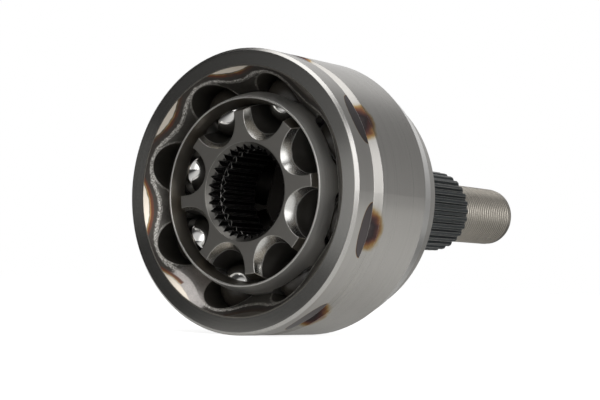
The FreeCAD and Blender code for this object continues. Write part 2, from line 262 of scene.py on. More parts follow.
class Graph:
    """Adds nodes to one node tree and wires them by plain calls."""

    def __init__(self, tree: bpy.types.NodeTree) -> None:
        """Keeps the tree that the nodes go into."""
        self.tree = tree

    def node(self, kind: str, inputs: Mapping[Union[str, int], Feed] = MappingProxyType({}),
             **settings: object) -> bpy.types.Node:
        """Adds a node.

        Args:
            kind: The node's type name.
            inputs: What goes into its inputs, by their name or number.
            settings: Properties to set on it.

        Returns:
            The new node.
        """
        made = self.tree.nodes.new(kind)
        for name, value in settings.items():
            setattr(made, name, value)
        for key, value in inputs.items():
            self.feed(made.inputs[key], value)
        return made

    def feed(self, socket: Socket, value: Feed) -> None:
        """Links something into an input, or sets the input's own value.

        Args:
            socket: The input.
            value: A wire or socket to link, or a number or numbers to set.
        """
        if isinstance(value, Wire):
            value = value.socket
        if isinstance(value, bpy.types.NodeSocket):
            self.tree.links.new(value, socket)
        else:
            socket.default_value = value

    def carried(self, node: bpy.types.Node) -> dict[str, Feed]:
        """The outputs of a node by name, with its numbers as wires."""
        return {socket.name: Wire(self, socket) if socket.type in ("VALUE", "INT") else socket
                for socket in node.outputs}

    def math(self, operation: str, *inputs: Feed, clamp: bool = False) -> Wire:
        """Adds a Math node, with its result kept between 0 and 1 if clamp is set."""
        made = self.node("ShaderNodeMath", dict(enumerate(inputs)), operation=operation, use_clamp=clamp)
        return Wire(self, made.outputs[0])

    def length(self, first: Wire, second: Wire) -> Wire:
        """The length of a line from its parts along two square directions."""
        return self.math("SQRT", first * first + second * second)

    def rise(self, value: Feed, start: float, end: float) -> Wire:
        """A smooth mask that goes from 0 at start to 1 at end, whichever is larger.

        Args:
            value: What is measured.
            start: Where the mask is 0.
            end: Where the mask is 1.

        Returns:
            The mask.
        """
        made = self.node("ShaderNodeMapRange", {"Value": value, "From Min": start, "From Max": end},
                         interpolation_type="SMOOTHSTEP")
        return Wire(self, made.outputs["Result"])

    def band(self, value: Feed, low: float, high: float, soft: float) -> Wire:
        """A mask that is 1 between two values and falls off over soft edges beyond them."""
        return self.rise(value, low - soft, low) * self.rise(value, high + soft, high)

    def blend(self, factor: Feed, first: Feed, second: Feed) -> Socket:
        """Mixes two colours. The factor is the share of the second one."""
        inputs = {"Factor": factor, "A": rgba(first), "B": rgba(second)}
        return self.node("ShaderNodeMix", inputs, data_type="RGBA").outputs["Result"]

    def level(self, factor: Feed, first: Feed, second: Feed) -> Wire:
        """Mixes two numbers. The factor is the share of the second one."""
        made = self.node("ShaderNodeMix", {"Factor": factor, "A": first, "B": second}, data_type="FLOAT")
        return Wire(self, made.outputs["Result"])

    def combine(self, first: Feed, second: Feed, third: Feed) -> Socket:
        """Joins three numbers into a vector."""
        return self.node("ShaderNodeCombineXYZ", {0: first, 1: second, 2: third}).outputs[0]

    def parts(self, vector: Feed) -> list[Wire]:
        """Takes a vector apart into its three numbers."""
        return [Wire(self, part) for part in self.node("ShaderNodeSeparateXYZ", {0: vector}).outputs]

    def stretch(self, vector: Feed, factor: Feed) -> Socket:
        """Multiplies a vector or a colour by a number."""
        made = self.node("ShaderNodeVectorMath", {0: vector, "Scale": factor}, operation="SCALE")
        return made.outputs[0]

    def compare(self, operation: str, first: Feed, second: Feed) -> Wire:
        """Draws a number from two vectors, by DOT_PRODUCT or DISTANCE."""
        made = self.node("ShaderNodeVectorMath", {0: first, 1: second}, operation=operation)
        return Wire(self, made.outputs["Value"])

    def noise(self, vector: Feed, scale: Feed, detail: float = 2.0, rough: float = 0.5) -> Wire:
        """Adds a noise texture, about 0.5 on average."""
        inputs = {"Vector": vector, "Scale": scale, "Detail": detail, "Roughness": rough}
        return Wire(self, self.node("ShaderNodeTexNoise", inputs).outputs["Fac"])

    def call(self, group: bpy.types.NodeTree, **inputs: Feed) -> dict[str, Feed]:
        """Places a node group.

        Args:
            group: The group's tree.
            inputs: Values for its inputs, with underscores for spaces in their names.

        Returns:
            Its outputs by name.
        """
        made = self.node("ShaderNodeGroup")
        made.node_tree = group
        for name, value in inputs.items():
            self.feed(made.inputs[name.replace("_", " ")], value)
        return self.carried(made)


def rgba(colour: Feed) -> Feed:
    """Gives a colour of three numbers its fourth, and leaves a socket as it is."""
    return colour if isinstance(colour, bpy.types.NodeSocket) else (*colour, 1.0)


def past(edge: float, span: Span) -> Span:
    """A span that is counted from an edge."""
    return edge + span[0], edge + span[1]


def bare_graph(owner: Union[bpy.types.Material, bpy.types.World]) -> Graph:
    """Gives a material or a world an empty node tree.

    Args:
        owner: The material or the world.

    Returns:
        The graph of its tree.
    """
    owner.use_nodes = True
    owner.node_tree.nodes.clear()
    return Graph(owner.node_tree)


class GroupBuilder:
    """Makes a shader node group with named inputs and outputs."""

    def __init__(self, name: str, inputs: dict[str, float], outputs: dict[str, str]) -> None:
        """Makes the group's sockets.

        Args:
            name: The group's name.
            inputs: Default value of each number input, by name.
            outputs: Socket type of each output, by name.
        """
        self.tree = bpy.data.node_groups.new(name, "ShaderNodeTree")
        for label, value in inputs.items():
            socket = self.tree.interface.new_socket(label, in_out="INPUT", socket_type=NUMBER)
            socket.default_value = value
        for label, kind in outputs.items():
            self.tree.interface.new_socket(label, in_out="OUTPUT", socket_type=kind)
        self.graph = Graph(self.tree)
        self.inputs = self.graph.carried(self.graph.node("NodeGroupInput"))
        self.results = self.graph.node("NodeGroupOutput").inputs

    def give(self, label: str, value: Feed) -> None:
        """Links something to one of the group's outputs."""
        self.graph.feed(self.results[label], value)


NOISE_MEAN = 0.5
RINGS_PER_MM = 9.0
RING_SLANT = 0.83
RING_DRIFT = 0.35
RING_SHARE = 0.6
BROAD_RINGS_PER_MM = 0.9
BROAD_SHIFT = 4.0
SCRATCHES = {"Radius": 4.0, "Height": 5.0, "Angle": 3.0}
GRIT_SCALE = 2.2
GRIT_SHARE = 0.45
PATCH_SCALE = 0.24
SPECKLE_SCALE = 2.8
SPECKLE_SPAN = (0.44, 0.58)
EDGE_ROUND = 0.35
EDGE_SAMPLES = 6
EDGE_SPAN = (0.02, 0.16)
TINT_SPAN = (0.0, 0.3)
HEAT_STOPS = (
    (0.0, (0.48, 0.44, 0.38)), (0.15, (0.42, 0.34, 0.20)), (0.3, (0.33, 0.20, 0.075)),
    (0.42, (0.20, 0.085, 0.04)), (0.55, (0.085, 0.036, 0.034)), (0.7, (0.036, 0.026, 0.028)),
    (0.85, (0.062, 0.050, 0.052)), (1.0, (0.086, 0.073, 0.076)),
)


class Effects:
    """The shader node groups that the materials share."""

    def __init__(self) -> None:
        """Builds each group once."""
        self.axis = self._axis()
        self.track = self._track()
        self.turned = self._turned()
        self.ground = self._ground()
        self.forged = self._forged(self.axis)
        self.heat = self._heat()
        self.edge = self._edge()

    @staticmethod
    def _axis() -> bpy.types.NodeTree:
        """Cylinder coordinates about the joint's axis, in millimetres and radians.

        Returns:
            The group.
        """
        outputs = {"Radius": NUMBER, "Height": NUMBER, "Angle": NUMBER, "Millimetres": VECTOR}
        group = GroupBuilder("axis_coordinates", {}, outputs)
        graph = group.graph
        scaled = graph.stretch(graph.node("ShaderNodeTexCoord").outputs["Object"], 1 / MILLIMETRE)
        across, along, up = graph.parts(scaled)
        group.give("Radius", graph.length(across, up))
        group.give("Height", along)
        group.give("Angle", graph.math("ARCTAN2", up, across))
        group.give("Millimetres", scaled)
        return group.tree

    @staticmethod
    def _track() -> bpy.types.NodeTree:
        """Distance from the nearest ball track's wall, positive outside the groove.

        Returns:
            The group.
        """
        inputs = {"Radius": 0.0, "Height": 0.0, "Angle": 0.0, "Centre Height": 0.0}
        group = GroupBuilder("track_distance", inputs, {"Distance": NUMBER, "Sector": NUMBER})
        graph = group.graph
        radius = group.inputs["Radius"]
        sector = (group.inputs["Angle"] - math.radians(TRACKS.clock)).wrapped(math.pi / TRACKS.count)
        rise = group.inputs["Height"] - group.inputs["Centre Height"]
        off = graph.length(radius * sector.cosine(), rise) - TRACKS.radius
        group.give("Distance", graph.length(off, radius * sector.sine()) - TRACKS.groove)
        group.give("Sector", sector)
        return group.tree

    @staticmethod
    def _turned() -> bpy.types.NodeTree:
        """Fine rings left by a lathe tool, as a height and a shade.

        Returns:
            The group.
        """
        inputs = {"Radius": 0.0, "Height": 0.0, "Angle": 0.0, "Rings": RINGS_PER_MM}
        group = GroupBuilder("turned_rings", inputs, {"Shade": NUMBER, "Relief": NUMBER})
        graph = group.graph
        down = group.inputs["Radius"] * RING_SLANT + group.inputs["Height"]
        drift = group.inputs["Angle"] * RING_DRIFT
        rings = graph.noise(graph.combine(down * group.inputs["Rings"], drift, 0.0), 1.0, 2.0, 0.6)
        broad = graph.noise(graph.combine(down * BROAD_RINGS_PER_MM, drift, BROAD_SHIFT), 1.0, 1.0)
        group.give("Relief", rings)
        group.give("Shade", rings * RING_SHARE + broad * (1.0 - RING_SHARE))
        return group.tree

    @staticmethod
    def _ground() -> bpy.types.NodeTree:
        """Short scratches of a grinding wheel, along the ring direction.

        Returns:
            The group.
        """
        inputs = dict.fromkeys(SCRATCHES, 0.0)
        group = GroupBuilder("ground_scratches", inputs, {"Shade": NUMBER, "Relief": NUMBER})
        graph = group.graph
        place = graph.combine(*(group.inputs[label] * scale for label, scale in SCRATCHES.items()))
        scratches = graph.noise(place, 1.0, 3.0, 0.65)
        group.give("Shade", scratches)
        group.give("Relief", scratches)
        return group.tree

    @staticmethod
    def _forged(axis: bpy.types.NodeTree) -> bpy.types.NodeTree:
        """Scale and grit of a forged skin.

        Args:
            axis: The group of cylinder coordinates.

        Returns:
            The group.
        """
        outputs = {"Shade": NUMBER, "Relief": NUMBER, "Speckle": NUMBER}
        group = GroupBuilder("forged_skin", {"Grit": GRIT_SCALE}, outputs)
        graph = group.graph
        place = graph.call(axis)["Millimetres"]
        grit = graph.noise(place, group.inputs["Grit"], 4.0, 0.62)
        patches = graph.noise(place, PATCH_SCALE, 3.0, 0.6)
        group.give("Relief", grit)
        group.give("Shade", grit * GRIT_SHARE + patches * (1.0 - GRIT_SHARE))
        group.give("Speckle", graph.rise(graph.noise(place, SPECKLE_SCALE, 2.0, 0.55), *SPECKLE_SPAN))
        return group.tree

    @staticmethod
    def _heat() -> bpy.types.NodeTree:
        """Temper colours of heated steel, from straw through brown to dark scale at 1.

        Returns:
            The group.
        """
        group = GroupBuilder("heat_tint", {"Heat": 0.0}, {"Tint": COLOUR, "Cover": NUMBER})
        graph = group.graph
        ramp = graph.node("ShaderNodeValToRGB", {0: group.inputs["Heat"]})
        fill_ramp(ramp, HEAT_STOPS)
        group.give("Tint", ramp.outputs["Color"])
        group.give("Cover", graph.rise(group.inputs["Heat"], *TINT_SPAN))
        return group.tree

    @staticmethod
    def _edge() -> bpy.types.NodeTree:
        """Where a surface turns sharply, brightened as wear and as painted highlight, and the normal
        rounded there.

        Returns:
            The group.
        """
        group = GroupBuilder("edge_wear", {"Amount": 1.0}, {"Worn": NUMBER, "Normal": VECTOR})
        graph = group.graph
        radius = EDGE_ROUND * MILLIMETRE
        rounded = graph.node("ShaderNodeBevel", {"Radius": radius}, samples=EDGE_SAMPLES)
        plain = graph.node("ShaderNodeNewGeometry").outputs["Normal"]
        turn = 1.0 - graph.compare("DOT_PRODUCT", rounded.outputs[0], plain)
        # Mask of the sharp edges that get wear and painted highlight.
        wear_and_highlight = graph.math("MULTIPLY", graph.rise(turn, *EDGE_SPAN), group.inputs["Amount"], clamp=True)
        group.give("Worn", wear_and_highlight)
        group.give("Normal", rounded.outputs[0])
        return group.tree


def fill_ramp(ramp: bpy.types.Node, stops: Sequence[tuple[float, Colour]]) -> None:
    """Sets the stops of a Color Ramp.

    Args:
        ramp: The node.
        stops: Place and colour of each stop, in order.
    """
    elements = ramp.color_ramp.elements
    while len(elements) < len(stops):
        elements.new(1.0)
    for element, (place, colour) in zip(elements, stops):
        element.position = place
        element.color = rgba(colour)


@dataclass(frozen=True)
class Finish:
    """One finish of a steel surface.

    Attributes:
        grain: How the surface was made.
        colour: Base colour of the metal.
        roughness: Roughness of the highlights.
        mottle: How much the shade of the grain changes the colour.
        relief: Depth of the grain, in millimetres.
        metallic: 1 for bare metal, less for a coated one.
    """

    grain: Grain
    colour: Colour
    roughness: float
    mottle: float
    relief: float
    metallic: float = 1.0


GLOSS_SWING = 0.8


class SteelMaterial:
    """A material built up from finishes, each laid over the last one through a mask."""

    def __init__(self, name: str, effects: Effects, finish: Finish, rings: float = RINGS_PER_MM) -> None:
        """Starts the material with one finish all over.

        Args:
            name: The material's name.
            effects: The shared node groups.
            finish: The finish that the others are laid on.
            rings: Lathe rings for each millimetre.
        """
        self.material = bpy.data.materials.new(name)
        self.graph = bare_graph(self.material)
        self.effects = effects
        graph = self.graph
        place = graph.call(effects.axis)
        self.millimetres = place.pop("Millimetres")
        self.where = place
        self.radius = place["Radius"]
        self.height = place["Height"]
        self.angle = place["Angle"]
        forged = graph.call(effects.forged)
        self.speckle = forged["Speckle"]
        self.grains = {
            Grain.TURNED: graph.call(effects.turned, Rings=rings, **place),
            Grain.GROUND: graph.call(effects.ground, **place),
            Grain.FORGED: forged,
        }
        self.colour = self._shade(finish)
        self.roughness: Feed = self._gloss(finish)
        self.metallic: Feed = finish.metallic
        self.relief = self._depth(finish)

    def _swing(self, finish: Finish) -> Wire:
        """How far the shade of a finish's grain is from its mean."""
        return self.grains[finish.grain]["Shade"] - NOISE_MEAN

    def _shade(self, finish: Finish) -> Socket:
        """The colour of a finish, lighter and darker with its grain."""
        return self.graph.stretch(finish.colour, self._swing(finish).scaled(finish.mottle * 2.0, 1.0))

    def _gloss(self, finish: Finish) -> Wire:
        """The roughness of a finish, uneven with its grain."""
        inputs = (self._swing(finish), finish.roughness * GLOSS_SWING, finish.roughness)
        return self.graph.math("MULTIPLY_ADD", *inputs, clamp=True)

    def _depth(self, finish: Finish) -> Wire:
        """The height of a finish's grain, in millimetres."""
        return self.grains[finish.grain]["Relief"] * finish.relief

    def cover(self, mask: Feed, finish: Finish) -> None:
        """Lays a finish over what is there.

        Args:
            mask: Where it goes, from 0 to 1.
            finish: The finish.
        """
        graph = self.graph
        self.colour = graph.blend(mask, self.colour, self._shade(finish))
        self.roughness = graph.level(mask, self.roughness, self._gloss(finish))
        if self.metallic != finish.metallic:
            self.metallic = graph.level(mask, self.metallic, finish.metallic)
        self.relief = graph.level(mask, self.relief, self._depth(finish))

    def tint(self, heat: Wire, strength: Feed) -> None:
        """Lays temper colours over what is there. The heat is 0 where it stayed cold."""
        tint = self.graph.call(self.effects.heat, Heat=heat)
        self.colour = self.graph.blend(tint["Cover"] * strength, self.colour, tint["Tint"])

    def finish(self, amount: float, wear_and_highlight: Colour) -> bpy.types.Material:
        """Brightens the sharp edges as wear and painted highlight, rounds them, and wires the layers
        into the shader.

        Args:
            amount: Greatest cover of the bright colour.
            wear_and_highlight: Colour of the worn edges and their painted highlight.

        Returns:
            The finished material.
        """
        graph = self.graph
        edge = graph.call(self.effects.edge, Amount=amount)
        bump = graph.node("ShaderNodeBump", {
            "Height": self.relief, "Distance": MILLIMETRE, "Strength": 1.0, "Normal": edge["Normal"]})
        shader = graph.node("ShaderNodeBsdfPrincipled", {
            "Base Color": graph.blend(edge["Worn"], self.colour, wear_and_highlight), "Roughness": self.roughness,
            "Metallic": self.metallic, "Normal": bump.outputs[0]})
        graph.node("ShaderNodeOutputMaterial", {"Surface": shader.outputs[0]})
        return self.material


TURNED_BODY = Finish(Grain.TURNED, (0.50, 0.485, 0.46), 0.30, 0.16, 0.002)
# The face's finish is turned steel painted darker as shade; the next one is a lit copy of it that paints
# two highlight sectors.
SHADED_TURNED_FACE = Finish(Grain.TURNED, (0.24, 0.235, 0.222), 0.2, 0.14, 0.004)
FACE_PAINTED_HIGHLIGHT = Finish(Grain.TURNED, (0.49, 0.48, 0.455), 0.2, 0.14, 0.004)
TURNED_TAPER = Finish(Grain.TURNED, (0.55, 0.54, 0.52), 0.3, 0.12, 0.002)
SCALED_FUNNEL = Finish(Grain.FORGED, (0.062, 0.056, 0.051), 0.38, 0.5, 0.012)
# Forged skin of the entry, darkened with painted shade.
SHADED_FORGED_ENTRY = Finish(Grain.FORGED, (0.15, 0.142, 0.13), 0.42, 0.8, 0.05)
# Bright colour that paints a highlight along the forged edges.
FORGED_EDGE_HIGHLIGHT = Finish(Grain.FORGED, (0.62, 0.60, 0.56), 0.38, 0.7, 0.05)
BARE_LAND = Finish(Grain.FORGED, (0.50, 0.47, 0.45), 0.42, 0.7, 0.04)
# Near-black painted shade for deep inside the bell, with forged grit.
CAVITY_SHADE = Finish(Grain.FORGED, (0.030, 0.027, 0.024), 0.5, 0.5, 0.02)
FRESH_CHAMFER = Finish(Grain.TURNED, (0.72, 0.65, 0.56), 0.34, 0.08, 0.001)
FORGED_DOME = Finish(Grain.FORGED, (0.40, 0.385, 0.36), 0.42, 0.35, 0.02)
GROUND_TRACK = Finish(Grain.GROUND, (0.22, 0.205, 0.18), 0.50, 0.3, 0.003)
GROUND_JOURNAL = Finish(Grain.TURNED, (0.62, 0.61, 0.59), 0.2, 0.1, 0.001)
PHOSPHATE = Finish(Grain.FORGED, (0.060, 0.067, 0.069), 0.42, 0.45, 0.01, 0.9)
THREAD_NECK = Finish(Grain.TURNED, (0.45, 0.42, 0.37), 0.38, 0.25, 0.002)
OUTER_CHAMFER = Finish(Grain.TURNED, (0.62, 0.605, 0.58), 0.28, 0.1, 0.001)
# Cover and colour of the bell's edges: wear and painted highlight.
BELL_EDGE_WEAR_AND_HIGHLIGHT = (0.75, (0.80, 0.78, 0.74))


@dataclass(frozen=True)
class OutsideLook:
    """How the finishes outside meet, in millimetres.

    Attributes:
        chamfer_height: Span from the mouth chamfer's end.
        chamfer_radius: Span from its inner limit.
        taper: Softness of the taper's ends.
        dome: Softness of the dome's ends.
        seat: How far the dome ends before the journal.
        coat: Span from the journal's end where the coat sets in.
        neck: Span from the spline's end where it ends.
    """

    chamfer_height: Span = (0.04, 0.0)
    chamfer_radius: Span = (-0.1, 0.0)
    taper: float = 0.4
    dome: float = 0.1
    seat: float = 0.3
    coat: Span = (-3.0, -0.4)
    neck: Span = (0.05, 0.9)


@dataclass(frozen=True)
class MouthLook:
    """How the finishes of the mouth meet, in millimetres and radians.

    Attributes:
        wall: Span from the face's inner edge where the inside ends.
        floor: Span of the height where it ends.
        skin: Span from the mouth's plane where the face ends.
        highlight_turn: Turn of the face's two sectors of painted highlight.
        highlight_span: Span of their cosine.
        scale: Span of the height where the cavity's painted shade sets in.
        near: Span of the distance at which a point is on a surface.
        lip: Span of the distance from a track where the entry begins.
        fray: Noise that frays the forged edges.
        brow: Span of the painted highlight line between the funnel and the entry.
        brow_fray: Share of the fraying that it gets.
        rim: Span of the painted highlight line round each track.
        grit: Gain and least value of the speckle in those painted highlight lines.
        bare: Sector where the entry and the funnel are bare.
        bare_soft: Softness of its ends.
        bare_fray: How far the fraying moves them.
    """

    wall: Span = (0.5, 0.3)
    floor: Span = (34.0, 33.0)
    skin: Span = (0.06, 0.02)
    highlight_turn: float = math.radians(12.0)
    highlight_span: Span = (0.4, 1.0)
    scale: Span = (4.0, 13.0)
    near: Span = (0.2, 0.08)
    lip: Span = (0.06, 0.14)
    fray: Fray = (0.8, 3.0, -1.2, 0.6)
    brow: Span = (0.30, 0.14)
    brow_fray: float = 0.3
    rim: Span = (0.7, 0.25)
    grit: Pair = (0.8, 0.2)
    bare: Pair = (math.radians(-134.0), math.radians(-111.0))
    bare_soft: float = 0.06
    bare_fray: float = 0.08


@dataclass(frozen=True)
class LensLook:
    """The pale lenses at the lands, with brown borders, in millimetres and radians.

    Attributes:
        reach: Half of a lens's width, as an angle.
        depth: How far it reaches down the funnel.
        fray: Noise that frays its edge.
        edge: Span of its edge.
        lip: Span of the depth below the face's inner edge where it starts.
        middle: Middle of the side of the mouth where the lenses are clear.
        arc: Half of that side.
        arc_soft: Softness of its ends.
        cover: Gain and least cover of the lenses.
        border: Ends and softness of the border, counted into the lens.
        heat: Span of the heat across the border.
        hottest: Greatest heat.
        plain: Sector whose lens has no border.
        plain_soft: Softness of its ends.
        low: Span of the angle's sine where the border is full.
        patch_scale: Scale of the patches where it is full elsewhere.
        patch: Span of their noise.
        burnt: Gain and least strength of the border's colours.
    """

    reach: float = math.radians(11.2)
    depth: float = 1.5
    fray: Fray = (0.5, 2.0, 0.4, -0.2)
    edge: Span = (0.0, 0.12)
    lip: Span = (-0.3, 0.0)
    middle: float = math.radians(165.0)
    arc: float = math.radians(80.0)
    arc_soft: float = 0.10
    cover: Pair = (0.85, 0.15)
    border: tuple[float, float, float] = (-0.85, 0.0, 0.4)
    heat: Span = (0.2, -0.6)
    hottest: float = 0.50
    plain: Pair = (math.radians(-127.0), math.radians(-109.0))
    plain_soft: float = 0.02
    low: Span = (0.5, 0.0)
    patch_scale: float = 0.14
    patch: Span = (0.46, 0.60)
    burnt: Pair = (0.62, 0.30)


@dataclass(frozen=True)
class ScorchLook:
    """The dark marks across the boot groove, one outside each track, in millimetres and radians.

    Attributes:
        reach: Half of a mark's width, as an angle.
        ahead: How far it reaches in front of the land's end.
        behind: How far it reaches behind it.
        fray: Noise that frays its edge.
        front_fray: Share of the fraying that the front edge gets.
        front: Span of the front edge, squared.
        fade: How steeply the heat falls behind.
        skin: Span of the radius where a mark starts to show.
        cover: Greatest cover of the colours.
    """

    reach: float = math.radians(11.0)
    ahead: float = 4.8
    behind: float = 9.0
    fray: Fray = (0.35, 3.0, 0.3, -0.15)
    front_fray: float = 0.5
    front: Span = (1.12, 0.88)
    fade: float = 1.35
    skin: Span = (44.6, 44.9)
    cover: float = 0.96


class BellFinish:
    """The finishes of the bell and its stub."""

    def __init__(self, effects: Effects) -> None:
        """Starts with the turned body.

        Args:
            effects: The shared node groups.
        """
        self.steel = SteelMaterial("bell_steel", effects, TURNED_BODY)
        self.graph = self.steel.graph
        self.half = math.pi / TRACKS.count
        self.field = self.graph.call(effects.track, Centre_Height=-TRACKS.offset, **self.steel.where)
        self.sector = self.field["Sector"]

    def make(self) -> bpy.types.Material:
        """Lays on every part's finish in order.

        Returns:
            The bell's material.
        """
        self._outside(OutsideLook())
        self._lens(LensLook(), self._mouth(MouthLook()))
        self._scorch(ScorchLook())
        return self.steel.finish(*BELL_EDGE_WEAR_AND_HIGHLIGHT)

    def _fray(self, scale: float, detail: float, gain: float, shift: float) -> Wire:
        """Noise that moves an edge to and fro."""
        return self.graph.noise(self.steel.millimetres, scale, detail).scaled(gain, shift)

    def _outside(self, look: OutsideLook) -> None:
        """The mouth's chamfer, the turned taper, the forged dome, the journal, the spline and the tip.

        Args:
            look: How they meet.
        """
        steel = self.steel
        graph = self.graph
        edge = graph.rise(steel.height, *past(BELL.mouth + BELL.mouth_chamfer, look.chamfer_height))
        outer = graph.rise(steel.radius, *past(BELL.radius - BELL.mouth_chamfer, look.chamfer_radius))
        steel.cover(edge * outer, OUTER_CHAMFER)
        seat = BELL.seat - look.seat
        steel.cover(graph.band(steel.height, BELL.body_end, BELL.step, look.taper), TURNED_TAPER)
        steel.cover(graph.band(steel.height, BELL.step, seat, look.dome), FORGED_DOME)
        steel.cover(graph.rise(steel.height, seat, seat + look.dome), GROUND_JOURNAL)
        steel.cover(graph.rise(steel.height, *past(BELL.journal_end, look.coat)), PHOSPHATE)
        steel.cover(graph.rise(steel.height, *past(BELL.spline_end, look.neck)), THREAD_NECK)

    def _mouth(self, look: MouthLook) -> Wire:
        """The face, painted darker as shade with two sectors of painted highlight, the funnel, the
        forged entry with painted shade, the ground tracks and sphere inside with painted shade deep in
        the cavity, and painted highlight lines along the forged edges.

        Args:
            look: How they meet.

        Returns:
            The mask of the funnel.
        """
        steel = self.steel
        graph = self.graph
        height = steel.height
        inside = graph.rise(steel.radius, *past(BELL.face_inner, look.wall))
        inside = inside * graph.rise(height, *look.floor)
        skin = past(BELL.mouth, look.skin)
        face = graph.rise(height, *skin)
        # The face: turned steel painted darker as shade, then two sectors painted with a lit copy as
        # highlight.
        steel.cover(face, SHADED_TURNED_FACE)
        highlight_sectors = steel.angle.scaled(2.0, look.highlight_turn).cosine()
        steel.cover(face * graph.rise(highlight_sectors, *look.highlight_span), FACE_PAINTED_HIGHLIGHT)
        steel.cover(inside, GROUND_TRACK)
        # Deep inside the bell the colour goes near black: painted shade.
        steel.cover(inside * graph.rise(height, *look.scale), CAVITY_SHADE)
        off_entry = abs(self._entry_distance())
        off_cone = abs(steel.radius + height - (BELL.face_inner + BELL.mouth))
        drafted = graph.rise(off_entry, *look.near)
        land = inside * graph.rise(self.field["Distance"], *look.lip)
        land = land * graph.rise(height, *reversed(skin))
        # The forged entry: forged grit, darkened with painted shade.
        steel.cover(drafted * land, SHADED_FORGED_ENTRY)
        funnel = graph.rise(off_cone, *look.near) * land
        steel.cover(funnel, SCALED_FUNNEL)
        fray = self._fray(*look.fray)
        # Painted highlight lines: between the funnel and the entry, and round each track.
        brow = graph.rise(off_cone + off_entry + fray * look.brow_fray, *look.brow)
        rim = graph.rise(self.field["Distance"] + fray, *look.rim) * drafted
        steel.cover(rim.larger(brow) * land * steel.speckle.scaled(*look.grit), FORGED_EDGE_HIGHLIGHT)
        bare = graph.band(steel.angle + fray * look.bare_fray, *look.bare, look.bare_soft) * land
        steel.cover(bare * funnel.larger(drafted), BARE_LAND)
        return funnel

    def _entry_distance(self) -> Wire:
        """How far a point lies outside the forged entry's octagon, whose corners face the tracks.

        Returns:
            The distance, in millimetres, near enough on the entry itself.
        """
        graph = self.graph
        radius = self.steel.radius
        sunk = (self.steel.height - BELL.mouth) * BELL.entry_slope
        reach = (BELL.entry_flat - BELL.entry_corner) / math.cos(self.half)
        across = radius * self.sector.sine()
        aside = radius * self.sector.cosine() - reach
        corner = graph.length(aside, across) - BELL.entry_corner
        flat = radius * (self.half - abs(self.sector)).cosine() - BELL.entry_flat
        on_corner = graph.math("GREATER_THAN", graph.math("ARCTAN2", abs(across), aside), self.half)
        return graph.level(on_corner, corner, flat) + sunk

    def _lens(self, look: LensLook, funnel: Wire) -> None:
        """The pale lenses at the lands, with their temper colours.

        Args:
            look: Their sizes.
            funnel: The mask of the funnel.
        """
        steel = self.steel
        graph = self.graph
        drop = (self.half - abs(self.sector)) / look.reach
        depth = BELL.face_inner - steel.radius
        into = (1.0 - drop * drop) * look.depth - depth + self._fray(*look.fray)
        round_side = abs((steel.angle - look.middle).wrapped(math.pi))
        clear = graph.rise(round_side, look.arc + look.arc_soft, look.arc)
        mouth = funnel * graph.rise(depth, *look.lip) * clear.scaled(*look.cover)
        lens = graph.rise(into, *look.edge) * mouth
        halo = graph.band(into, *look.border) * mouth
        heat = graph.rise(into, *look.heat) * look.hottest
        steel.cover(lens, FRESH_CHAMFER)
        border = halo.larger(lens) * (1.0 - graph.band(steel.angle, *look.plain, look.plain_soft))
        patch = graph.rise(graph.noise(steel.millimetres, look.patch_scale), *look.patch)
        burnt = graph.rise(steel.angle.sine(), *look.low).larger(patch).scaled(*look.burnt)
        steel.tint(heat, border * burnt)

    def _scorch(self, look: ScorchLook) -> None:
        """Dark marks across the boot groove, one outside each track, sharp in front and tempered behind.

        Args:
            look: Their sizes.
        """
        graph = self.graph
        swing = self.sector / look.reach
        fray = self._fray(*look.fray)
        rise = self.steel.height - BELL.land_end
        ahead = rise / look.ahead
        front = graph.rise(ahead * ahead + swing * swing + fray * look.front_fray, *look.front)
        back = (fray + 1.0 - graph.length(rise / look.behind, swing)) * look.fade
        heat = graph.level(graph.math("GREATER_THAN", rise, 0.0), front, back)
        self.steel.tint(heat * graph.rise(self.steel.radius, *look.skin), look.cover)


RACE_FACE = Finish(Grain.TURNED, (0.355, 0.34, 0.315), 0.33, 0.12, 0.002)
RACE_TRACK = Finish(Grain.GROUND, (0.90, 0.89, 0.86), 0.25, 0.1, 0.0005)
# Grease together with painted shade, for the tracks deeper in.
RACE_GREASE_AND_SHADE = Finish(Grain.FORGED, (0.035, 0.032, 0.028), 0.42, 0.5, 0.01, 0.5)
RACE_BORE = Finish(Grain.FORGED, (0.013, 0.012, 0.011), 0.4, 0.4, 0.006, 0.8)
RACE_LEAD = Finish(Grain.TURNED, (0.14, 0.135, 0.125), 0.34, 0.15, 0.002)
# Cover and colour of the race's edges: wear and painted highlight.
RACE_EDGE_WEAR_AND_HIGHLIGHT = (0.7, (0.82, 0.80, 0.76))
RACE_RINGS_PER_MM = 6.0


